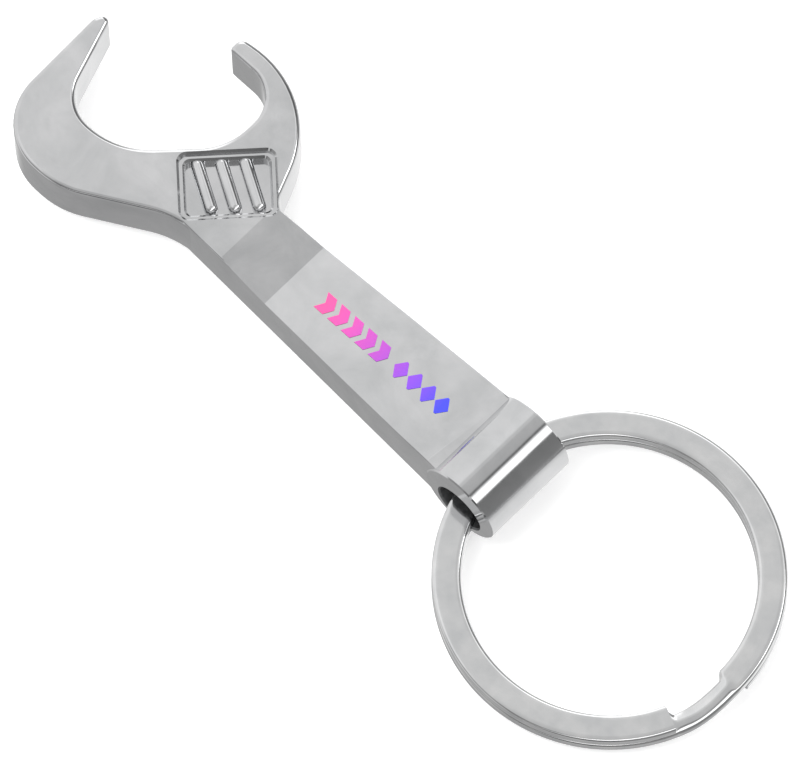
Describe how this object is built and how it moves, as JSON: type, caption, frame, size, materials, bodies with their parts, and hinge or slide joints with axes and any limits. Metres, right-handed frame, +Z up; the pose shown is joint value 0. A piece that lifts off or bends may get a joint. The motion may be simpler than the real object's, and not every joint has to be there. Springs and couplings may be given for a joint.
{
  "type": "keychain bottle opener",
  "caption": "Spanner-shaped keychain bottle opener with a hooked mouth for crown caps, a cast worm recess and a split key ring that swings in a cross barrel.",
  "frame": {"origin": "bottom centre of the bounding box", "axes": "+X along the handle from the mouth towards the key ring, +Y across the handle towards the hooked jaw, +Z up out of the face with the worm recess"},
  "size_m": [0.0814, 0.03, 0.0078],
  "materials": {
    "plated_casting": "bright nickel plate on a polished zinc casting",
    "plated_wire": "bright nickel plate on tumbled flat steel wire",
    "print_ink": "thin pad-printed ink, pink to violet to blue"
  },
  "bodies": {
    "opener": {"opener_body": "plated_casting", "printed_mark": "print_ink"},
    "ring": {"split_ring": "plated_wire"}
  },
  "joints": [
    {"name": "ring_swing", "type": "hinge", "parent": "opener", "child": "ring", "pos_m": [0.01229, 0.0003, 0.00295], "axis": [0, -1, 0], "range_deg": [-165, 165]}
  ]
}
